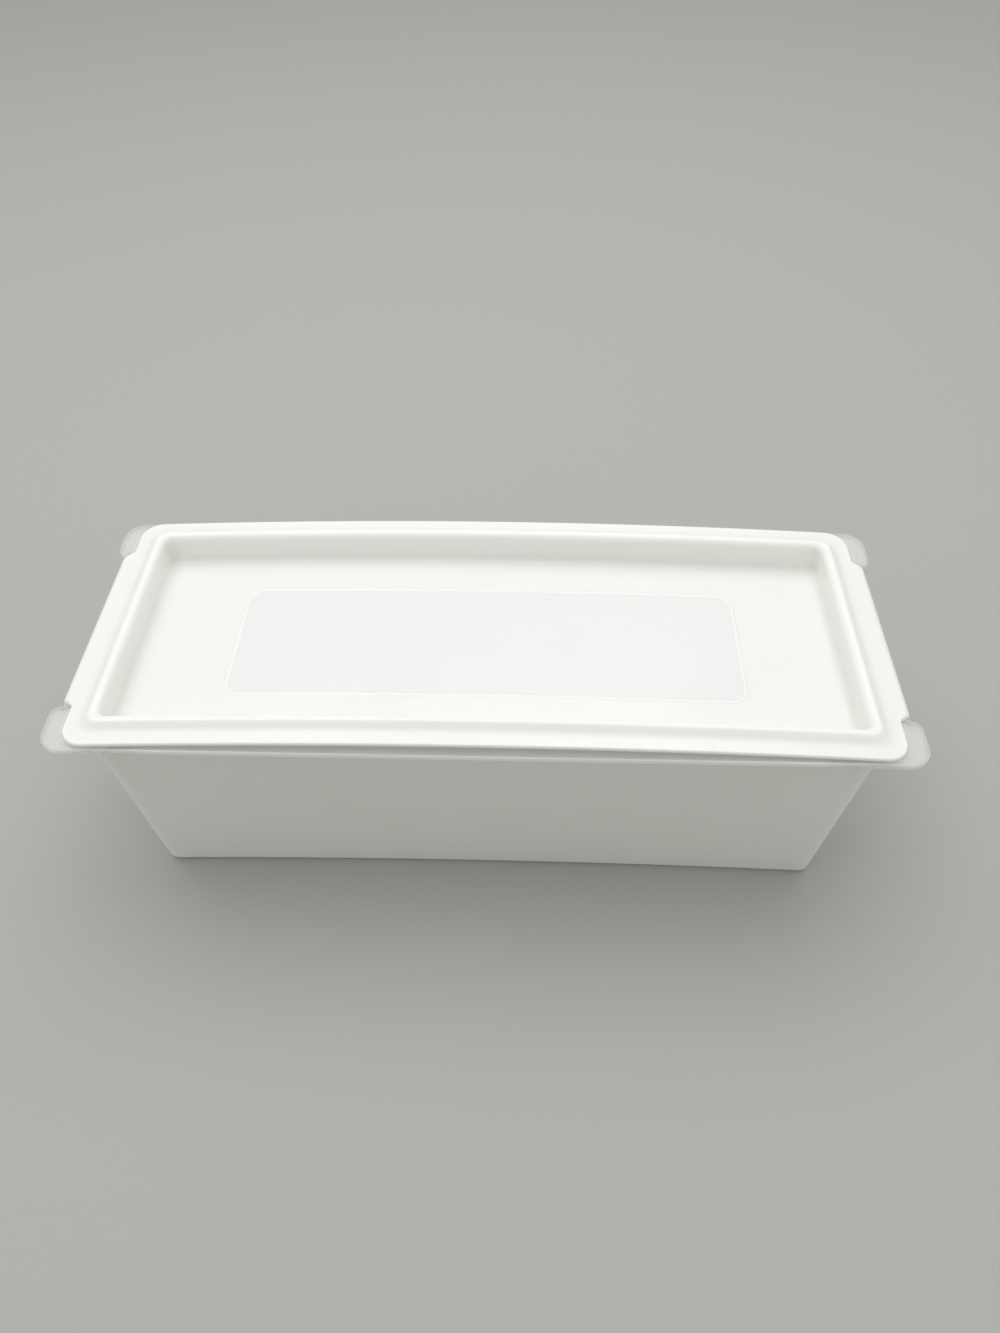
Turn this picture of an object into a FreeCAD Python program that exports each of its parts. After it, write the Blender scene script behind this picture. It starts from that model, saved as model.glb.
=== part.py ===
import FreeCAD, Part
import math
import os

# A long keeper box for a block of cheese, moulded in two pieces of soft plastic.
# node box: a drafted, open-topped tub. Its rim carries a thin flange with a rolled edge, which grows
#           into a finger ear at each of the four corners.
# node lid: a press-on lid. A flat border rests on the flange at its two ends and arches up a little
#           between them. Inside it runs a rounded ridge, and from the ridge a plug wall drops into
#           the mouth and carries a sunk panel. On each short side, between two ears, a clip folds
#           over the edge of the flange and hooks under it.
#
# Millimetres. The origin is the middle of the base, on the surface that the box stands on. +X runs
# along the box, +Y across it and +Z up. An inset is measured inward from the edge of the lid.

V = FreeCAD.Vector

# ---- box ------------------------------------------------------------------------------------------
RIM_LENGTH = 269.0          # outside of the walls at the flange
RIM_WIDTH = 101.5
RIM_HEIGHT = 88.8           # base to the top of the flange
DRAFT = 4.1                 # degrees that every wall leans outward
WALL = 2.2
FLOOR = 2.2
BOX_CORNER = 4.5            # outside radius of the upright corners
BASE_BEVEL = 1.2            # outside edge round the base
FLOOR_BEVEL = 1.4           # inside edge round the floor

# ---- flange and ears ------------------------------------------------------------------------------
FLANGE_THICK = 1.4
FLANGE_CORNER = 8.0
BEAD_WIDTH = 0.8            # rolled bead along the free edge
BEAD_RISE = 0.4             # over the flange, and as much under it
EAR_REACH = 4.7             # past the end of the flange
EAR_SIDE_REACH = 0.6        # past the side of the flange
EAR_WIDTH = 19.2            # across the box
EAR_RUN = 22.0              # along the box
EAR_OUTER_ROUND = 8.0
EAR_INNER_ROUND = 4.5
EAR_BLEND = 1.2             # inside corner between an ear and the end of the flange

# ---- lid ------------------------------------------------------------------------------------------
LID_OVERHANG = 5.5          # lid edge past the outside of the walls
LID_BOW = 3.9               # how far the middle of the lid arches up over its two ends
LID_CORNER = 8.0
LID_WALL = 1.6
RIDGE_INSET = 6.4           # outer side of the ridge
RIDGE_RISE = 2.3
RIDGE_CORNER = 4.6
RIDGE_ROUND = 1.9           # outer side of the ridge, up to its crest
PLUG_GAP = 0.5              # between the plug wall and the mouth of the box
PLUG_DRAFT = 5.0            # degrees
PLUG_CORNER = 2.6           # upright inside corners of the sunk tray
PLUG_LEAD = 0.8             # bevel round the foot of the plug, which leads it into the box
PANEL_DROP = 10.0           # border to the sunk panel
PANEL_ROUND = 2.4           # edge between the panel and the plug wall

# ---- marks on the panel ---------------------------------------------------------------------------
FRAME_LENGTH = 185.0        # thin raised frame
FRAME_WIDTH = 53.0
FRAME_CORNER = 6.0
FRAME_LINE = 0.9
FRAME_RISE = 0.4
GATE_RADIUS = 5.3           # shallow dimple where the plastic entered the mould
GATE_DEPTH = 0.35

# ---- clips ----------------------------------------------------------------------------------------
CLIP_CLEAR = 3.2            # from the end of a clip to the ear beside it
CLIP_BLEND = 4.6            # each end runs back to the border over this length
CLIP_REACH = 4.3            # past the end of the border
CLIP_WALL = 1.4
CLIP_ROUND = 2.2            # outer bend over the edge of the flange
CLIP_GAP = 0.4              # between the clip and the edge of the flange
HOOK_GAP = 0.3              # between the hook and the underside of the flange
HOOK_HEIGHT = 1.4
HOOK_BITE = 1.0             # how far the hook reaches under the flange
LIP_REACH = 0.8             # finger lip that turns outward at the foot of the clip

# ---- fits -----------------------------------------------------------------------------------------
EDGE_MARGIN = 0.25          # side of the lid to the bead beside it

# ---- worked out from the sizes above --------------------------------------------------------------
LEAN = math.tan(math.radians(DRAFT))
PLUG_LEAN = math.tan(math.radians(PLUG_DRAFT))
LID_LENGTH = RIM_LENGTH + 2 * LID_OVERHANG
LID_WIDTH = RIM_WIDTH + 2 * LID_OVERHANG
LID_END = LID_LENGTH / 2
ARCH_RADIUS = (LID_END ** 2 + LID_BOW ** 2) / (2 * LID_BOW)
BORDER_TOP = RIM_HEIGHT + LID_WALL
RIDGE_TOP = BORDER_TOP + RIDGE_RISE
PANEL_TOP = BORDER_TOP - PANEL_DROP
PLUG_INSET = LID_OVERHANG + WALL + PLUG_GAP
TRAY_INSET = PLUG_INSET + LID_WALL
CLIP_FACE = LID_END + CLIP_REACH
CLIP_INSIDE = CLIP_FACE - CLIP_WALL
FLANGE_END = CLIP_INSIDE - CLIP_GAP
FLANGE_SIDE = LID_WIDTH / 2 + EDGE_MARGIN + BEAD_WIDTH
FLANGE_UNDER = RIM_HEIGHT - FLANGE_THICK
EAR_END = FLANGE_END + EAR_REACH
EAR_SIDE = FLANGE_SIDE + EAR_SIDE_REACH
EAR_INSIDE = EAR_SIDE - EAR_WIDTH
CLIP_HALF = EAR_INSIDE - CLIP_CLEAR
OVER = 10.0                 # how far a cutting or trimming solid runs past what it trims
CLOSE = 0.05                # heights nearer than this count as the same


def arch(x):
    """Rise of the arched lid at x, over its level at the two ends."""
    return LID_BOW - ARCH_RADIUS + math.sqrt(ARCH_RADIUS ** 2 - x ** 2)


def arched_layer(low, high):
    """Layer between two arched surfaces, given by their levels at the ends of the lid."""
    reach, half = LID_END + OVER, LID_WIDTH / 2 + OVER
    ends = {}
    for base in (low, high):
        z = base + arch(reach)
        ends[base] = (V(-reach, -half, z), V(0, -half, base + LID_BOW), V(reach, -half, z))
    lower, upper = Part.Arc(*ends[low]).toShape(), Part.Arc(*ends[high]).toShape()
    left = Part.LineSegment(ends[low][0], ends[high][0]).toShape()
    right = Part.LineSegment(ends[low][2], ends[high][2]).toShape()
    return Part.Face(Part.Wire([lower, right, upper, left])).extrude(V(0, 2 * half, 0))


def midpoint(edge):
    return edge.valueAt((edge.FirstParameter + edge.LastParameter) / 2)


def round_edges(shape, radius, chosen):
    """Fillet every edge whose midpoint passes the test."""
    return shape.makeFillet(radius, [edge for edge in shape.Edges if chosen(midpoint(edge))])


def bevel_edges(shape, size, chosen):
    """Chamfer every edge whose midpoint passes the test."""
    return shape.makeChamfer(size, [edge for edge in shape.Edges if chosen(midpoint(edge))])


def level(point):
    """Height of a point with the arch of the lid taken out."""
    return point.z - arch(point.x)


def near(value, target):
    return abs(value - target) < CLOSE


def mirrored(shape, axis):
    return shape.mirror(V(0, 0, 0), axis)


def prism(points, height):
    """Upright block over a polygon."""
    return Part.Face(Part.makePolygon(points + points[:1])).extrude(V(0, 0, height))


def rounded_block(length, width, corner, low, high):
    """Upright block about the Z axis, with rounded upright corners."""
    block = Part.makeBox(length, width, high - low, V(-length / 2, -width / 2, low))
    return round_edges(block, corner, lambda p: low + CLOSE < p.z < high - CLOSE)


def lid_block(inset, corner, low, high):
    """Part of the arched lid between two levels, at an inset from its edge."""
    length, width = LID_LENGTH - 2 * inset, LID_WIDTH - 2 * inset
    return rounded_block(length, width, corner, 0, high + LID_BOW + OVER).common(arched_layer(low, high))


def half_size(size, lean, z):
    """Half of a size given at RIM_HEIGHT, taken at height z between walls that lean outward."""
    return size / 2 - (RIM_HEIGHT - z) * lean


def drafted(length, width, lean, corner, low, high):
    """Block whose flat walls lean outward by lean per mm of height, with rounded upright corners."""
    a, b = half_size(length, lean, low), half_size(width, lean, low)
    top_a, top_b = half_size(length, lean, high), half_size(width, lean, high)
    block = Part.makeWedge(-a, low, -b, -top_b, -top_a, a, high, b, top_b, top_a)
    block = block.rotated(V(0, 0, 0), V(1, 0, 0), 90)
    return round_edges(block, corner, lambda p: low + CLOSE < p.z < high - CLOSE)


# ---- box ------------------------------------------------------------------------------------------
def tub():
    """The drafted outside of the walls, with its bevelled foot, before it is hollowed."""
    block = drafted(RIM_LENGTH, RIM_WIDTH, LEAN, BOX_CORNER, 0, RIM_HEIGHT)
    return bevel_edges(block, BASE_BEVEL, lambda p: near(p.z, 0))


def hollow():
    """The inside of the box, from the floor to the mouth."""
    length, width = RIM_LENGTH - 2 * WALL, RIM_WIDTH - 2 * WALL
    block = drafted(length, width, LEAN, BOX_CORNER - WALL, FLOOR, RIM_HEIGHT)
    return bevel_edges(block, FLOOR_BEVEL, lambda p: near(p.z, FLOOR))


def ear(z, height, inset):
    """Finger ear at the +X +Y corner: a tab with a small inner and a large outer round."""
    root, end = FLANGE_END - EAR_RUN, EAR_END - inset
    inside, side = EAR_INSIDE + inset, EAR_SIDE - inset
    corners = [V(root, inside, z), V(end, inside, z), V(end, side, z), V(root, FLANGE_SIDE - inset, z)]
    tab = prism(corners, height)
    tab = round_edges(tab, EAR_INNER_ROUND - inset, lambda p: near(p.x, end) and near(p.y, inside))
    return round_edges(tab, EAR_OUTER_ROUND - inset, lambda p: near(p.x, end) and near(p.y, side))


def flange_plate(z, height, inset=0.0):
    """The flange with its four ears, as a plate from z upward. It may keep an inset from the free edge."""
    end, inside = FLANGE_END - inset, EAR_INSIDE + inset
    plate = rounded_block(2 * end, 2 * (FLANGE_SIDE - inset), FLANGE_CORNER - inset, z, z + height)
    tab = ear(z, height, inset)
    pair = [tab, mirrored(tab, V(1, 0, 0))]
    plate = plate.fuse(pair + [mirrored(one, V(0, 1, 0)) for one in pair]).removeSplitter()
    return round_edges(plate, EAR_BLEND + inset, lambda p: near(abs(p.x), end) and near(abs(p.y), inside))


def edge_bead():
    """Bead along the free edge. It stops where the clips fold over the ends of the flange."""
    low, height = FLANGE_UNDER - BEAD_RISE, FLANGE_THICK + 2 * BEAD_RISE
    bead = flange_plate(low, height).cut(flange_plate(low, height, BEAD_WIDTH))
    clear = CLIP_HALF + CLIP_BLEND
    gate = Part.makeBox(2 * CLIP_INSIDE, 2 * clear, 2 * height, V(-CLIP_INSIDE, -clear, low - height / 2))
    return bead.cut(gate)


def make_box():
    body = tub().fuse(flange_plate(FLANGE_UNDER, FLANGE_THICK))
    return body.cut(hollow()).fuse(edge_bead()).removeSplitter()


# ---- lid ------------------------------------------------------------------------------------------
def plug_block(inset, corner, low, high):
    """Block with the draft of the plug. Its inset from the lid's edge is the one at the top of the box."""
    length, width = LID_LENGTH - 2 * inset, LID_WIDTH - 2 * inset
    block = drafted(length, width, PLUG_LEAN, corner, low - OVER, high + OVER)
    return block.common(arched_layer(low, high))


def plug():
    """Plug that drops into the mouth of the box, still solid."""
    block = plug_block(PLUG_INSET, PLUG_CORNER + LID_WALL, PANEL_TOP - LID_WALL, BORDER_TOP)
    return bevel_edges(block, PLUG_LEAD, lambda p: near(level(p), PANEL_TOP - LID_WALL))


def tray():
    """What is taken out of the top: the sunk tray down to the panel."""
    block = plug_block(TRAY_INSET, PLUG_CORNER, PANEL_TOP, RIDGE_TOP + OVER)
    return round_edges(block, PANEL_ROUND, lambda p: near(level(p), PANEL_TOP))


def panel_frame():
    """Thin raised frame on the panel."""
    high = RIDGE_TOP + LID_BOW
    length, width = FRAME_LENGTH - 2 * FRAME_LINE, FRAME_WIDTH - 2 * FRAME_LINE
    frame = rounded_block(FRAME_LENGTH, FRAME_WIDTH, FRAME_CORNER, 0, high)
    frame = frame.cut(rounded_block(length, width, FRAME_CORNER - FRAME_LINE, 0, high))
    return frame.common(arched_layer(PANEL_TOP - LID_WALL / 2, PANEL_TOP + FRAME_RISE))


def gate_dimple():
    pin = Part.makeCylinder(GATE_RADIUS, RIDGE_TOP + LID_BOW)
    return pin.common(arched_layer(PANEL_TOP - GATE_DEPTH, PANEL_TOP + OVER))


def polyline(points):
    return [Part.LineSegment(a, b).toShape() for a, b in zip(points, points[1:])]


def clip_section():
    """Section of a clip: over the edge of the flange, down, and hooked back under it."""
    root = LID_END - OVER / 2
    hook_top = FLANGE_UNDER - HOOK_GAP
    foot = hook_top - HOOK_HEIGHT
    bend = CLIP_ROUND * (1 - math.sqrt(0.5))
    inside = [(root, RIM_HEIGHT), (CLIP_INSIDE, RIM_HEIGHT), (CLIP_INSIDE, hook_top),
              (FLANGE_END - HOOK_BITE, hook_top), (CLIP_INSIDE, foot), (CLIP_FACE, foot)]
    lip = [(CLIP_FACE, foot), (CLIP_FACE + LIP_REACH, foot + HOOK_HEIGHT / 2), (CLIP_FACE, hook_top)]
    face = [(CLIP_FACE, hook_top), (CLIP_FACE, BORDER_TOP - CLIP_ROUND)]
    turn = [face[-1], (CLIP_FACE - bend, BORDER_TOP - bend), (CLIP_FACE - CLIP_ROUND, BORDER_TOP)]
    top = [turn[-1], (root, BORDER_TOP), (root, RIM_HEIGHT)]
    inside, lip, face, turn, top = [[V(x, 0, z) for x, z in run] for run in (inside, lip, face, turn, top)]
    lip_edge, turn_edge = Part.Arc(*lip).toShape(), Part.Arc(*turn).toShape()
    edges = polyline(inside) + [lip_edge] + polyline(face) + [turn_edge] + polyline(top)
    return Part.Face(Part.Wire(edges))


def clip():
    """Clip at the +X end, whose two ends run back to the edge of the border."""
    root, wide = LID_END - OVER, CLIP_HALF + CLIP_BLEND
    bar = clip_section().extrude(V(0, 2 * wide, 0))
    bar.translate(V(0, -wide, 0))
    side = [(root, wide), (LID_END, wide), (CLIP_FACE, CLIP_HALF), (CLIP_FACE + OVER, CLIP_HALF)]
    plan = [V(x, y, 0) for x, y in side] + [V(x, -y, 0) for x, y in reversed(side)]
    return bar.common(prism(plan, BORDER_TOP + OVER))


def make_lid():
    ridge = lid_block(RIDGE_INSET, RIDGE_CORNER, RIM_HEIGHT, RIDGE_TOP)
    ridge = round_edges(ridge, RIDGE_ROUND, lambda p: near(level(p), RIDGE_TOP))
    body = lid_block(0, LID_CORNER, RIM_HEIGHT, BORDER_TOP).fuse([ridge, plug()]).cut(tray())
    hook = clip()
    return body.fuse([panel_frame(), hook, mirrored(hook, V(1, 0, 0))]).cut(gate_dimple()).removeSplitter()


os.makedirs("parts", exist_ok=True)
for name, shape in (("box", make_box()), ("lid", make_lid())):
    solid = shape.Solids[0]
    print(name, "solids", len(shape.Solids), "valid", solid.isValid(), "cm3", round(solid.Volume / 1000, 1),
          "box", [round(v, 2) for v in (solid.BoundBox.XMin, solid.BoundBox.XMax, solid.BoundBox.YMin,
                                        solid.BoundBox.YMax, solid.BoundBox.ZMin, solid.BoundBox.ZMax)])
    solid.exportStep("parts/" + name + ".step")
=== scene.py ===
# %% [markdown] # A long cheese keeper with a press-on lid  This notebook dresses a packed CAD model:
# a drafted, open-topped box and the lid that closes it. Both are moulded in soft polyethylene. The
# CAD gives every size. Blender adds what the eye judges: smooth rolled edges, a milky plastic that
# lets some light through, the faint marks that a mould and years of washing leave, and a studio to
# see them in.

# %% Load the frame
import math
import bpy
import numpy as np
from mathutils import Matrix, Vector


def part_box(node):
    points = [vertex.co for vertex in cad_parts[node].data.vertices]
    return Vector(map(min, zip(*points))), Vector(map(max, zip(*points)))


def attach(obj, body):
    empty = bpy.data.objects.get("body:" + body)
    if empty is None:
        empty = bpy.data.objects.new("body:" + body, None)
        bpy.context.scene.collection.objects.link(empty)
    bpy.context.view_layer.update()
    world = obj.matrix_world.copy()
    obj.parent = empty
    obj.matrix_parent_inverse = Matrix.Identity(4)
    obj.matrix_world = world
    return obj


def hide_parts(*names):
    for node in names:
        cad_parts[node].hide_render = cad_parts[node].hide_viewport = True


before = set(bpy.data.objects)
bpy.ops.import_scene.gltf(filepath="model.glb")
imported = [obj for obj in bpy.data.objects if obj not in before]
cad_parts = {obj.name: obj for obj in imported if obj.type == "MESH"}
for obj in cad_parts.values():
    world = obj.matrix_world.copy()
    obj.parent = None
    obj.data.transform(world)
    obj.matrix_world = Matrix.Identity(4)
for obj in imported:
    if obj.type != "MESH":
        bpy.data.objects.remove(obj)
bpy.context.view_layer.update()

MM = 0.001
box_low, box_high = [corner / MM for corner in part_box("box")]
lid_low, lid_high = [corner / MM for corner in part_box("lid")]
print("box", [round(v, 1) for v in box_low], [round(v, 1) for v in box_high])
print("lid", [round(v, 1) for v in lid_low], [round(v, 1) for v in lid_high])

# %% [markdown]
# ## Sizes
#
# Lengths are in millimetres until a mesh is made. The heights and the outer sizes come from the CAD
# nodes' own boxes. The rest are walls and steps of the section. Those that both pieces need stand
# here, in one place, so that the lid and the box keep fitting each other.

# %% Sizes that the box and the lid share
WALL, FLANGE, BEAD = 2.2, 1.4, 0.4
DRAFT = 4.1  # degrees that the box's walls lean outward
LEAN = math.tan(math.radians(DRAFT))
RIM_Z = box_high.z - BEAD
EAR_END, EAR_SIDE = box_high.x, box_high.y
LID_X, LID_Y = 140.0, lid_high.y
OVERHANG = 5.5  # how far the lid's border stands out past the box's wall
WALL_X, WALL_Y = LID_X - OVERHANG, LID_Y - OVERHANG
LID_THICK, RIDGE_RISE, PANEL_DROP = 1.6, 2.3, 10.0
BOW = lid_high.z - RIM_Z - LID_THICK - RIDGE_RISE
print("rim at", round(RIM_Z, 1), "lid arch", round(BOW, 2))

# %% [markdown]
# ## Rings: a moulding with one continuous skin
#
# A keeper like this could start as a cube that is inset, extruded and smoothed by a subdivision
# surface. Then the corners swell, and each small step of the lid needs supporting loops. Here each
# piece is *lofted* instead. A list of closed rings, each a rounded rectangle at its own height, is
# joined ring to ring by quads. The rings follow the section of the wall, so the list reads like a
# walk over the plastic.
#
# Every ring has the same number of points, laid out in the same order: a corner, a long run, a
# corner, a short run, and the same again. That way any ring can be joined to any other.

# %% A ring of points
CORNER, LONG, SHORT = 18, 96, 124
RING = 4 * (CORNER + 1) + 2 * (LONG + SHORT)
QUARTERS = ((1, 1), (-1, 1), (-1, -1), (1, -1))


def ring_plan(half_x, half_y, corner):
    """Plan of a rounded rectangle. It starts at the +X +Y corner and runs counter-clockwise."""
    points = []
    for quarter, (sx, sy) in enumerate(QUARTERS):
        turn = np.radians(90 * quarter + np.linspace(0, 90, CORNER + 1))
        cx, cy = sx * (half_x - corner), sy * (half_y - corner)
        points += [(cx + corner * math.cos(a), cy + corner * math.sin(a)) for a in turn]
        last = np.array(points[-1])
        runs, reach = (LONG, half_x) if quarter % 2 == 0 else (SHORT, half_y)
        heading = np.radians(90 * quarter + 180)
        step = 2 * (reach - corner) / (runs + 1) * np.array([math.cos(heading), math.sin(heading)])
        points += [tuple(last + step * i) for i in range(1, runs + 1)]
    return np.array(points)


def raised(plan, z):
    """A plan lifted to a height, which may differ from point to point."""
    return np.column_stack([plan, np.broadcast_to(z, len(plan))])


def circle_plan(radius):
    """A circle whose points lie in the same directions as those of a long ring, near enough."""
    turn = np.radians(45 + 360 * (np.arange(RING) - CORNER / 2) / RING)
    return radius * np.column_stack([np.cos(turn), np.sin(turn)])


sample = ring_plan(100, 40, 8)
print("a ring has", len(sample), "points and spans", sample.min(0), sample.max(0))
assert len(sample) == RING

# %% [markdown]
# A section is drawn with sharp corners and then softened. Each corner is replaced by an arc that
# starts and ends at a given reach from it, as a mould maker rounds an edge so that the plastic flows
# and the part lets go. A corner with no turn in it becomes plain points on a straight run, which
# keeps the number of points the same in two sections that are later blended.
#
# Two more points stand close beside each arc. They hold the flat parts flat: without them a wide
# face would shade as if it bulged towards its rounded edge.

# %% Softening a section
HOLD = 0.22  # how far a holding point stands from its arc


def soften(corners, steps=6):
    """Rounds a polyline of (across, height, reach). A reach of 0 keeps the point as it is."""
    spots = [np.array(corner[:2], float) for corner in corners]
    reaches = [corner[2] for corner in corners]
    spans = [np.linalg.norm(b - a) for a, b in zip(spots, spots[1:])]
    flats = [span - r0 - r1 for span, r0, r1 in zip(spans, reaches, reaches[1:])]
    path = [spots[0]]
    for i in range(1, len(spots) - 1):
        into = (spots[i] - spots[i - 1]) / spans[i - 1]
        out = (spots[i + 1] - spots[i]) / spans[i]
        start, end = spots[i] - into * reaches[i], spots[i] + out * reaches[i]
        weight = math.sqrt(max(0.0, (1 + float(into @ out)) / 2))
        path.append(start - into * min(HOLD, flats[i - 1] / 3))
        for t in np.linspace(0, 1, steps + 1):
            shares = np.array([(1 - t) ** 2, 2 * weight * t * (1 - t), t ** 2])
            path.append((shares[0] * start + shares[1] * spots[i] + shares[2] * end) / shares.sum())
        path.append(end + out * min(HOLD, flats[i] / 3))
    path.append(spots[-1])
    return np.array(path)


square = soften([(0, 0, 0), (10, 0, 2), (10, 10, 0)])
print("one softened corner has", len(square), "points")

# %% [markdown]
# Joining the rings is the only mesh step. The first and last rings are small and are closed with one
# flat face each, so the piece is a closed skin, as a real wall has two sides. The order of the
# points in a face makes its front look outward.
#
# Marks can be stored with the rings as attributes, one number for a whole ring or one for each of
# its points. A material reads them later by name, to know which part of the moulding it is on.

# %% Joining rings into a piece


def piece(name, rings, marks):
    """Closed mesh object through the rings. marks gives, per attribute name, a value for each ring."""
    points = np.vstack(rings) * MM
    faces = []
    for k in range(len(rings) - 1):
        base, above = k * RING, (k + 1) * RING
        for i in range(RING):
            j = (i + 1) % RING
            faces.append((base + i, above + i, above + j, base + j))
    faces.append(tuple(range(RING)))
    faces.append(tuple(range((len(rings) - 1) * RING, len(rings) * RING))[::-1])
    mesh = bpy.data.meshes.new(name)
    mesh.from_pydata(points.tolist(), [], faces)
    for label, values in marks.items():
        each = np.repeat(values, RING) if np.ndim(values) == 1 else np.ravel(values)
        mesh.attributes.new(label, "FLOAT", "POINT").data.foreach_set("value", each)
    mesh.polygons.foreach_set("use_smooth", [True] * len(mesh.polygons))
    obj = bpy.data.objects.new(name, mesh)
    bpy.context.scene.collection.objects.link(obj)
    print(name, len(mesh.vertices), "vertices", len(mesh.polygons), "faces")
    return obj


def between(first, last, shares):
    """Rings part of the way from one ring to another."""
    return [first * (1 - share) + last * share for share in shares]


print("one of two rings between 0 and 1 stands at", between(0, 1, (0.33, 0.67))[0])

# %% [markdown]
# ## The lid
#
# The lid is one sheet of plastic about 1.6 mm thick, and about 3 mm in the wall of its tray, where the
# ridge rolls over into it. Going outward from its middle, it has a flat sunk panel, that wall, which
# climbs out of the box, the ridge, which slopes down gently outside, and a flat border that lies on
# the flange. Going back underneath, it has the border's seat and the outside of the plug wall, which
# fills the box's mouth.
#
# The section is a list of (inset from the lid's edge, height over the rim, reach of the round). The
# ridge's inner round is the widest, because that soft crest catches the light along the whole lid.
#
# The lid isn't quite flat: it arches up over its length, touches the box at both ends and stands off
# it in the middle. The arch is a circle's arc that every ring adds to its height.

# %% Section and arch of the lid
ARCH_RADIUS = (LID_X ** 2 + BOW ** 2) / (2 * BOW)
PLUG_DRAFT = 5  # degrees
PLUG_LEAN = math.tan(math.radians(PLUG_DRAFT))
PLUG = 8.2  # inset of the plug wall where it leaves the border
PANEL_EDGE = 18  # inset at which the panel's own rings take over
PANEL_TOP = LID_THICK - PANEL_DROP
PANEL_FOOT = PANEL_TOP - LID_THICK
RIDGE_TOP = LID_THICK + RIDGE_RISE
SEAT_SPOTS = (1.2, 2.2, 3.2, 4.2, 5.2, 6.2)  # plain points, to match the clip's many corners


def arch(x):
    rise = BOW - ARCH_RADIUS + np.sqrt(ARCH_RADIUS ** 2 - np.square(x))
    return np.maximum(rise, 0)


def plug_inset(height):
    return PLUG - height * PLUG_LEAN


over = [(PANEL_EDGE, PANEL_TOP, 0), (11.7, PANEL_TOP, 2.8), (11.5, -1.6, 1.8),
        (11.1, RIDGE_TOP, 2.3), (8.2, RIDGE_TOP, 0.5), (5.2, LID_THICK, 1.4)]
edge = [(0, LID_THICK, 0.55), (0, 0, 0.35)] + [(inset, 0, 0.2) for inset in SEAT_SPOTS]
under = [(plug_inset(0), 0, 0.5), (plug_inset(PANEL_FOOT), PANEL_FOOT, 1.0),
         (PANEL_EDGE, PANEL_FOOT, 0)]
plain = soften(over + edge + under)
print("the section has", len(plain), "points")
print("the ridge's crest stands", round(RIM_Z + RIDGE_TOP + BOW, 1), "high")

# %% [markdown]
# On each short side the border reaches over the edge of the flange, turns down and hooks under it.
# That clip is the same sheet of plastic, so it is a second section with as many points as the first.
# Along the middle of the short side the rings follow the clip's section, near the ears the plain one,
# with a short smooth step in between.
#
# The plan's corners also change along the section: wide at the lid's edge, tighter on the ridge and
# tight where the tray's wall meets the panel.

# %% Section of a clip, and how far a point takes part in it
CLIP_REACH, CLIP_HALF, CLIP_STEP = 4.3, 36.2, 3.6
CLIP_LIP = 0.75  # how far the thumb edge stands out near the clip's foot
HOOK_GAP = 0.3
HOOK_TOP = -FLANGE - HOOK_GAP
FOOT = -FLANGE - 1.7
CLIP_INSIDE = -2.9
CORNER_INSETS, CORNER_RADII = (0, 6.4, 9.8, 14, PANEL_EDGE), (8, 4.8, 3.2, 2.2, 1.6)
NEAR = 0.01
turn_down = [(-CLIP_REACH, LID_THICK, 2.6), (-CLIP_REACH, -1.6, 0.25),
             (-CLIP_REACH - CLIP_LIP, -2.4, 0.3), (-CLIP_REACH, FOOT, 0.3),
             (CLIP_INSIDE, FOOT, 0.35), (-1.5, HOOK_TOP, 0.25), (CLIP_INSIDE, HOOK_TOP, 0.2),
             (CLIP_INSIDE, 0, 0.3)]
clipped = soften(over + turn_down + under)
assert len(clipped) == len(plain)


def clip_share(y):
    t = np.clip((CLIP_HALF + CLIP_STEP - np.abs(y)) / CLIP_STEP, 0, 1)
    return t * t * (3 - 2 * t)


def lid_ring(flat, hooked):
    """One ring of the lid from a point of the plain section and the same point of the clip's."""
    inset, height = flat
    corner = np.interp(inset, CORNER_INSETS, CORNER_RADII)
    plan = ring_plan(LID_X - inset, LID_Y - inset, corner)
    share = clip_share(plan[:, 1]) * (np.abs(plan[:, 0]) > LID_X - inset - NEAR)
    plan[:, 0] -= np.sign(plan[:, 0]) * share * (hooked[0] - inset)
    return raised(plan, RIM_Z + height + share * (hooked[1] - height) + arch(plan[:, 0]))


lid_wall = [lid_ring(flat, hooked) for flat, hooked in zip(plain, clipped)]
print(len(lid_wall), "rings from the panel over the ridge and back underneath")

# %% [markdown]
# Two fine marks lie on the panel. A thin raised line frames its middle, where the mould carried an
# insert, and a shallow round dimple shows where the plastic was shot in. Both are real steps in the
# mesh, less than half a millimetre high, so that they catch the light from any side. The rings inside
# the line carry the mark `plate`: there the panel is painted a darker, cooler white, a
# painted shade for the light that the sheet lets through into the dark box.

# %% The panel's frame and dimple
FRAME_X, FRAME_Y, FRAME_CORNER = 92.5, 26.5, 6.0
LINE_HEIGHT, DIMPLE_DEPTH = 0.42, 0.06
line = soften([(-2.4, 0, 0), (-0.9, 0, 0.25), (0, LINE_HEIGHT, 0.35), (0.9, 0, 0.25), (2.4, 0, 0)])
gate = soften([(0.9, -DIMPLE_DEPTH, 0), (3.6, -DIMPLE_DEPTH, 1.0), (5.8, 0, 1.0), (7.4, 0, 0)])


def on_panel(plan, height, base=PANEL_TOP):
    return raised(plan, RIM_Z + base + height + arch(plan[:, 0]))


def settle(rings, base):
    """Interpolated rings put back on the arch, which bends between them."""
    return [on_panel(ring[:, :2], 0, base) for ring in rings]


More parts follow.
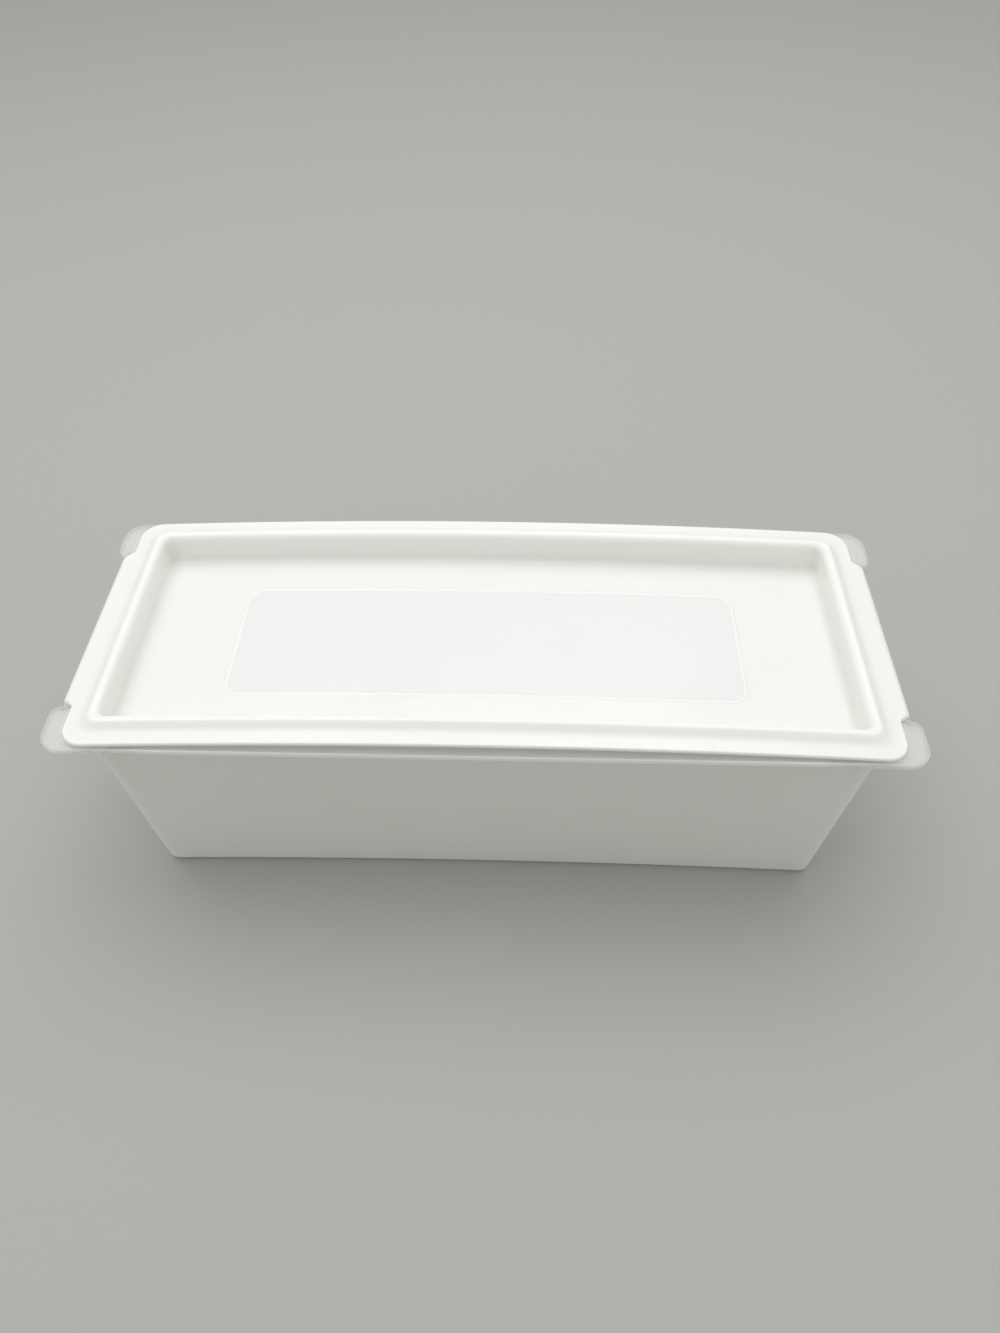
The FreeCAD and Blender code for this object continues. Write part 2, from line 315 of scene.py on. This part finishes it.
frame_rings = [on_panel(ring_plan(FRAME_X + off, FRAME_Y + off, FRAME_CORNER + off), height)
               for off, height in line]
gate_rings = [on_panel(circle_plan(radius), height) for radius, height in gate]
middle = settle(between(gate_rings[-1], frame_rings[0], (0.2, 0.4, 0.6, 0.8)), PANEL_TOP)
margin = settle(between(frame_rings[-1], lid_wall[0], (0.33, 0.67)), PANEL_TOP)
foot_middle = on_panel(circle_plan(1), 0, PANEL_FOOT)
below = settle(between(lid_wall[-1], foot_middle, np.linspace(0.15, 1, 7)), PANEL_FOOT)
lid_rings = gate_rings + middle + frame_rings + margin + lid_wall + below
within = len(gate_rings + middle) + len(frame_rings) // 3
# Rings inside the frame's line get the painted shade of the panel.
plate = [1.0] * within + [0.0] * (len(lid_rings) - within)
lid = piece("lid_shell", lid_rings, {"plate": plate})
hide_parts("lid")
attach(lid, "root")

# %% [markdown]
# ## The box
#
# The box is a tub with walls that lean outward by about four degrees, so that it slides off its
# mould. Its rim turns out into a thin flange with a rolled edge, and at each corner the flange grows
# into a finger ear. Only a quarter of that outline is drawn, because the tub is the same on both
# sides of its length and its width.

# %% Outline of the flange with its ears
EAR_LENGTH, EAR_REACH, EAR_SWELL, EAR_TAPER = 19.0, 4.7, 0.45, 24
EAR_INSIDE = EAR_SIDE - EAR_LENGTH
FLANGE_X, FLANGE_Y = EAR_END - EAR_REACH, EAR_SIDE - EAR_SWELL
EAR_TURN, EAR_TOE = (EAR_END, EAR_SIDE - 9), (EAR_END - 8, EAR_SIDE)


def quarter_outline():
    """A quarter of the flange's edge, from the middle of a short side to that of a long one."""
    corners = [(FLANGE_X, 0, 0), (FLANGE_X, EAR_INSIDE, 1.2), (EAR_END, EAR_INSIDE, 3.6),
               (EAR_END, EAR_SIDE, 7.6), (FLANGE_X - EAR_TAPER, FLANGE_Y, 4), (0, FLANGE_Y, 0)]
    return soften(corners, steps=30)


def nearest(path, spot):
    return int(np.argmin(np.linalg.norm(path - np.array(spot), axis=1)))


def spread(path, shares):
    """Points at the given shares of a path's length."""
    lengths = np.r_[0, np.cumsum(np.linalg.norm(np.diff(path, axis=0), axis=1))]
    return np.column_stack([np.interp(shares * lengths[-1], lengths, path[:, axis])
                            for axis in (0, 1)])


path = quarter_outline()
turn, toe = nearest(path, EAR_TURN), nearest(path, EAR_TOE)
short_half = spread(path[:turn + 1], (np.arange(SHORT // 2) + 0.5) / (SHORT / 2 + 0.5))
corner_run = spread(path[turn:toe + 1], np.linspace(0, 1, CORNER + 1))
long_half = spread(path[toe:], np.arange(1, LONG // 2 + 1) / (LONG / 2 + 0.5))
print("quarter:", len(short_half), len(corner_run), len(long_half), "points")

# %% [markdown]
# The four quarters are put together in the order of the ring's points, so that the flange's edge is
# a ring like any other. Its outward directions are kept too: the rolled edge is made by moving that
# one ring inward and up or down.

# %% The flange's edge as a ring


def whole(short, corner, long_run):
    """A closed ring from the three stretches of one quarter."""
    ring = []
    for k, (sx, sy) in enumerate(QUARTERS):
        flip = np.array((sx, sy))
        if k % 2 == 0:
            ring += [corner * flip, long_run * flip, (long_run * (-sx, sy))[::-1]]
        else:
            ring += [corner[::-1] * flip, short[::-1] * flip, short * (sx, -sy)]
    return np.vstack(ring)


def outward(plan):
    ahead = np.roll(plan, -1, axis=0) - np.roll(plan, 1, axis=0)
    side = np.column_stack([ahead[:, 1], -ahead[:, 0]])
    return side / np.linalg.norm(side, axis=1)[:, None]


flange_edge = whole(short_half, corner_run, long_half)
flange_out = outward(flange_edge)
print("flange ring", len(flange_edge), "points", flange_edge.max(0).round(2))
assert len(flange_edge) == RING

# %% [markdown]
# The section of the box is walked in the same way as the lid's: out from the middle of the floor, up
# the inside of the wall, over the mouth, along the flange, round its rolled edge, back under it, down
# the outside and in under the base. `out` is measured from the outside of the wall at the rim.
#
# The long walls are drawn in a little at their foot, which is common on large thin mouldings: the
# middle of a long wall cools last and shrinks inward.

# %% Section of the box
FLOOR_Z, DRAW_IN = 2.2, 1.8
FLOOR_STRIP, BASE_STRIP = 14, 12  # how far the section runs in over the floor and under the base
MOUTH_CORNER, WALL_CORNER = 2.4, 4.5
UNDER_Z = RIM_Z - FLANGE
WALL_FOOT, FLOOR_EDGE = -RIM_Z * LEAN, -(RIM_Z - FLOOR_Z) * LEAN - WALL


def wall_ring(out, z, corner):
    plan = ring_plan(WALL_X + out, WALL_Y + out, corner)
    pull = DRAW_IN * (RIM_Z - z) / RIM_Z * (1 - (plan[:, 0] / (WALL_X + out)) ** 2)
    plan[:, 1] -= np.sign(plan[:, 1]) * pull
    return raised(plan, z)


def rolled(inset, height):
    """A ring of the rolled edge. Under the clips the edge is plain, so that they can pass over it."""
    swell = 1 - clip_share(flange_edge[:, 1]) * (np.abs(flange_edge[:, 0]) > LID_X)
    level = np.clip(height, -FLANGE, 0)
    return raised(flange_edge - flange_out * inset, RIM_Z + level + (height - level) * swell)


inside = soften([(WALL_FOOT - FLOOR_STRIP, FLOOR_Z, 0), (FLOOR_EDGE, FLOOR_Z, 1.8),
                 (-WALL, RIM_Z, 0.5), (-0.6, RIM_Z, 0)])
outside = soften([(2.5, UNDER_Z, 0), (0, UNDER_Z, 1.1), (WALL_FOOT, 0, 2.4),
                  (WALL_FOOT - BASE_STRIP, 0, 0)])
roll = soften([(1.6, 0, 0), (1.0, 0, 0.3), (0.75, BEAD, 0.25), (0, BEAD, 0.35),
               (0, -FLANGE - BEAD, 0.35), (0.75, -FLANGE - BEAD, 0.25), (1.0, -FLANGE, 0.3),
               (1.6, -FLANGE, 0)])
inner = [wall_ring(out, z, MOUTH_CORNER) for out, z in inside]
rim = [rolled(inset, height) for inset, height in roll]
outer = [wall_ring(out, z, WALL_CORNER) for out, z in outside]
print("inside", len(inner), "edge", len(rim), "outside", len(outer), "rings")

# %% [markdown]
# The flange is much thinner than the walls. So each point stores two marks. `flange` is 0 on the
# walls and 1 from a millimetre out, all round the rim: there the colour is painted lighter, as painted
# light for the light that comes through the lid and reaches the thin flange from both sides. `thin`
# grows to 1 over the ears and the short sides alone: there the plastic stands free and the table shows
# through it. Along the long sides the lid and the wall close the view.

# %% The box in one piece
FLANGE_ROOT = 1.0  # the root's round starts this far under the flange
THIN_FROM, THIN_RUN = 1.0, 5.0  # distance out from the wall
END_FROM, END_RUN = 112, 16  # distance from the middle of the length

halfway = (0.25, 0.5, 0.75)
in_to_middle = np.linspace(0.15, 1, 6)
floor_rings = between(raised(circle_plan(1), FLOOR_Z), inner[0], np.linspace(0, 0.85, 6))
top, bottom = between(inner[-1], rim[0], halfway), between(rim[-1], outer[0], halfway)
base = between(outer[-1], raised(circle_plan(1), 0), in_to_middle)
box_rings = floor_rings + inner + top + rim + bottom + outer + base


def on_flange(ring):
    """Distance out from the wall, for points of the flange."""
    past = np.abs(ring[:, :2]) - (np.array((WALL_X, WALL_Y)) - WALL_CORNER)
    out = np.linalg.norm(np.maximum(past, 0), axis=1) - WALL_CORNER
    return out * (ring[:, 2] > UNDER_Z - FLANGE_ROOT)


def thinness(ring):
    near_end = np.clip((np.abs(ring[:, 0]) - END_FROM) / END_RUN, 0, 1)
    return np.clip((on_flange(ring) - THIN_FROM) / THIN_RUN, 0, 1) * near_end


# The `flange` mark drives the painted lighter tone of the flange, which stands in for light.
box_marks = {"thin": [thinness(ring) for ring in box_rings],
             "flange": [np.clip(on_flange(ring), 0, 1) for ring in box_rings]}
box = piece("box_shell", box_rings, box_marks)
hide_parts("box")
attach(box, "root")

# %% [markdown]
# ## Writing a material as sums
#
# Blender's shader editor draws a node for each operation. In a script, long chains of `nodes.new` and
# `links.new` hide what is being worked out. Two small classes fix that. The first, `Signal`, wraps an
# output socket, and `+`, `-` and `*` on it add a Math node. Each has its reflected form, so that
# `1 - mask` works as well as `mask - 1`.

# %% Signals


class Signal:
    """An output socket that can be used in sums with numbers and other signals."""

    def __init__(self, finish, socket):
        self.finish, self.socket = finish, socket

    def math(self, operation, first, second):
        return self.finish.node("ShaderNodeMath", {"operation": operation}, {0: first, 1: second})

    def __add__(self, other):
        return self.math("ADD", self, other)

    def __radd__(self, other):
        return self.math("ADD", other, self)

    def __sub__(self, other):
        return self.math("SUBTRACT", self, other)

    def __rsub__(self, other):
        return self.math("SUBTRACT", other, self)

    def __mul__(self, other):
        return self.math("MULTIPLY", self, other)

    def __rmul__(self, other):
        return self.math("MULTIPLY", other, self)


print("a signal knows", [name for name in vars(Signal) if name.startswith("__r")])

# %% [markdown]
# The second class, `Finish`, holds one material. Its `node` method adds any node from its type, its
# settings and what goes into its sockets. The others name what a plastic's finish is made of: noise,
# a mark from the mesh, faint scratches, and a moulded surface. In a moulded surface the light enters,
# scatters evenly to all sides and comes out nearby, and a low bump breaks up the gloss.

# %% Finishes
IOR = 1.5  # of polyethylene
RELIEF_STRENGTH = 0.12
FINE_DETAIL, FINE_ROUGHNESS = 6.0, 0.75


class Finish:
    """One material, built from signals."""

    def __init__(self, name):
        self.material = bpy.data.materials.new(name)
        self.material.use_nodes = True
        self.tree = self.material.node_tree
        self.tree.nodes.clear()
        self.where = self.node("ShaderNodeTexCoord", output="Object")

    def node(self, kind, settings={}, inputs={}, output=0):
        made = self.tree.nodes.new(kind)
        for name, value in settings.items():
            setattr(made, name, value)
        for name, value in inputs.items():
            if isinstance(value, Signal):
                self.tree.links.new(value.socket, made.inputs[name])
            else:
                made.inputs[name].default_value = value
        return Signal(self, made.outputs[output]) if made.outputs else None

    def noise(self, scale, detail, roughness, where=None):
        return self.node("ShaderNodeTexNoise", {}, {"Vector": where or self.where, "Scale": scale,
                                                    "Detail": detail, "Roughness": roughness})

    def ramp(self, signal, low, high):
        """0 below low, 1 above high, a smooth step between."""
        return self.node("ShaderNodeMapRange", {"interpolation_type": "SMOOTHSTEP"},
                         {"Value": signal, "From Min": low, "From Max": high})

    def scratched(self, scale, stretch, turn, low, high):
        """Fine scratches: noise that is drawn out along one direction and cut off high up."""
        along = self.node("ShaderNodeMapping", {}, {"Vector": self.where, "Scale": stretch,
                                                    "Rotation": (0, 0, turn)})
        return self.ramp(self.noise(scale, FINE_DETAIL, FINE_ROUGHNESS, along), low, high)

    def mix(self, share, first, second):
        return self.node("ShaderNodeMix", {"data_type": "RGBA"}, {0: share, 6: first, 7: second}, 2)

    def mark(self, name):
        """A value that the mesh stores at its points."""
        return self.node("ShaderNodeAttribute", {"attribute_name": name}, output="Fac")

    def surface(self, inputs):
        shader = self.node("ShaderNodeBsdfPrincipled", {}, inputs)
        self.node("ShaderNodeOutputMaterial", {}, {"Surface": shader})

    def moulded(self, tone, roughness, depth, relief, alpha=1.0):
        """Waxy plastic. Light scatters over depth, and relief is a height. Both in millimetres."""
        normal = self.node("ShaderNodeBump", {}, {"Height": relief, "Strength": RELIEF_STRENGTH,
                                                  "Distance": MM})
        self.surface({"Base Color": tone, "Roughness": roughness, "IOR": IOR, "Alpha": alpha,
                      "Subsurface Weight": 1.0, "Subsurface Radius": (1.0, 1.0, 1.0),
                      "Subsurface Scale": depth * MM, "Normal": normal})


def rgb(red, green, blue):
    return (red, green, blue, 1.0)


print("a finish has", [name for name in vars(Finish) if not name.startswith("_")])

# %% [markdown]
# ## Milky plastic
#
# The lid is polyethylene with a white filler, a soft and waxy white. The light spreads no further in
# it than the sheet is thick. Its gloss isn't even. A mould is polished by hand, so broad soft waves
# run over a flat face, and handling adds fine scratches and a dull bloom. These are the bump and the
# roughness below. Inside the frame's line the panel is painted a slightly cooler and greyer white:
# painted shade, for the light that the sheet lets through into the dark box there.

# %% Finish of the lid
milky = Finish("milky_white_polyethylene")
waves = milky.noise(14, 1.0, 0.4)
grain = milky.noise(1400, 3.0, 0.6)
bloom = milky.ramp(milky.noise(22, 4.0, 0.6), 0.42, 0.68)
scratches = (milky.scratched(26, (1.0, 26.0, 8.0), 0.35, 0.63, 0.70) * 0.6
             + milky.scratched(22, (24.0, 1.2, 8.0), -0.5, 0.64, 0.71) * 0.4)
plain_tone = milky.mix(bloom * 0.5, rgb(0.900, 0.898, 0.862), rgb(0.878, 0.877, 0.838))
# Painted shade: inside the frame's line the panel gets this darker, cooler white.
plate_tone = milky.mix(bloom * 0.5, rgb(0.852, 0.853, 0.850), rgb(0.836, 0.838, 0.832))
milky.moulded(tone=milky.mix(milky.mark("plate"), plain_tone, plate_tone),
              roughness=0.29 + bloom * 0.10 + scratches * 0.16, depth=LID_THICK,
              relief=waves + grain * 0.012 + scratches * 0.02)
lid.data.materials.append(milky.material)
print("lid finish:", len(milky.tree.nodes), "nodes")

# %% [markdown]
# The box is the same plastic with little filler. In a thick wall it still looks white, but greyer and
# a little warmer than the lid, because light goes deeper and part of it is lost. The flange is painted
# lighter than the walls: painted light, for the light that comes through the lid onto the thin flange
# and from both its sides. Its free ends, with the ears, are clear enough to show the table. Real
# refraction in so thin a sheet is hard to render without noise, so the plastic is made partly
# transparent there instead, by the mark stored in the mesh.

# %% Finish of the box
SEE_THROUGH = 0.62
frosted = Finish("frosted_polyethylene")
cloud = frosted.ramp(frosted.noise(18, 3.0, 0.55), 0.35, 0.7)
speck = frosted.noise(1200, 3.0, 0.6)
ripple = frosted.noise(11, 1.0, 0.4)
rub = frosted.scratched(24, (1.0, 18.0, 14.0), 0.2, 0.63, 0.70)
wall_tone = frosted.mix(cloud * 0.6, rgb(0.858, 0.860, 0.795), rgb(0.822, 0.818, 0.748))
# Painted light: where the `flange` mark is 1 the colour is painted lighter, for light through the lid.
frosted.moulded(tone=frosted.mix(frosted.mark("flange"), wall_tone, rgb(0.935, 0.93, 0.868)),
                roughness=0.38 + cloud * 0.08 + rub * 0.15, depth=4.0,
                relief=ripple + speck * 0.012 + rub * 0.02,
                alpha=1 - frosted.mark("thin") * SEE_THROUGH)
box.data.materials.append(frosted.material)
print("box finish:", len(frosted.tree.nodes), "nodes")

# %% [markdown]
# ## The studio
#
# The keeper stands on a plain grey sheet. The sheet lies a hair below its base, so that the two flat
# faces don't flicker through each other.

# %% Floor
FLOOR_HALF, FLOOR_DROP = 6, 0.0002  # metres
floor_mesh = bpy.data.meshes.new("floor")
floor_mesh.from_pydata([(sx * FLOOR_HALF, sy * FLOOR_HALF, 0) for sx, sy in QUARTERS], [],
                       [(0, 1, 2, 3)])
floor = bpy.data.objects.new("floor", floor_mesh)
bpy.context.scene.collection.objects.link(floor)
floor.location.z = box_low.z * MM - FLOOR_DROP
paper = Finish("grey_paper")
paper.surface({"Base Color": rgb(0.44, 0.437, 0.418), "Roughness": 0.75})
floor_mesh.materials.append(paper.material)
print("floor at", round(floor.location.z / MM, 2), "mm")

# %% [markdown]
# A wide soft lamp hangs above the keeper and a little behind it. So the lid is bright, the ridge has
# a soft highlight, and the long wall that faces the viewer lies in its own shade. The world adds the
# even light of a room. Together they light an upward face at about the level at which a colour looks
# as it is written, so the same materials also look right elsewhere.

# %% Lamps and world
ROOM_LIGHT = 0.62


def soft_lamp(name, place, aim, size, watts):
    light = bpy.data.lights.new(name, "AREA")
    light.shape, light.size, light.size_y, light.energy = "RECTANGLE", size[0], size[1], watts
    lamp = bpy.data.objects.new(name, light)
    lamp.location = place
    lamp.rotation_euler = (Vector(aim) - Vector(place)).to_track_quat("-Z", "Y").to_euler()
    bpy.context.scene.collection.objects.link(lamp)
    return lamp


key = soft_lamp("key", place=(-0.1, 0.26, 1.2), aim=(0, 0, 0.05), size=(1.5, 1.1), watts=8.5)
world = bpy.data.worlds.new("room")
bpy.context.scene.world = world
world.use_nodes = True
room = world.node_tree.nodes["Background"]
room.inputs["Color"].default_value = (1.0, 1.0, 0.995, 1)
room.inputs["Strength"].default_value = ROOM_LIGHT
bpy.context.scene.view_settings.view_transform = "Standard"
print("the lamp hangs", round(key.location.z, 2), "m up, and the room gives", ROOM_LIGHT)

# %% [markdown]
# ## The camera
#
# The viewer stands close to the long side and looks down at it steeply, through the wide lens of a
# phone. A wide lens makes the near side of the lid clearly longer than the far one.

# %% Camera
eye = bpy.data.cameras.new("eye")
eye.sensor_fit, eye.sensor_height, eye.lens = "VERTICAL", 36.0, 27.0
camera = bpy.data.objects.new("camera", eye)
camera.location = (0.0142, -0.2539, 0.3505)
camera.rotation_euler = [math.radians(angle) for angle in (42.191, 0.424, 1.650)]
bpy.context.scene.collection.objects.link(camera)
bpy.context.scene.camera = camera
print("the eye is", round(camera.location.length / MM), "mm from the middle of the foot")

# %% [markdown]

# %% End
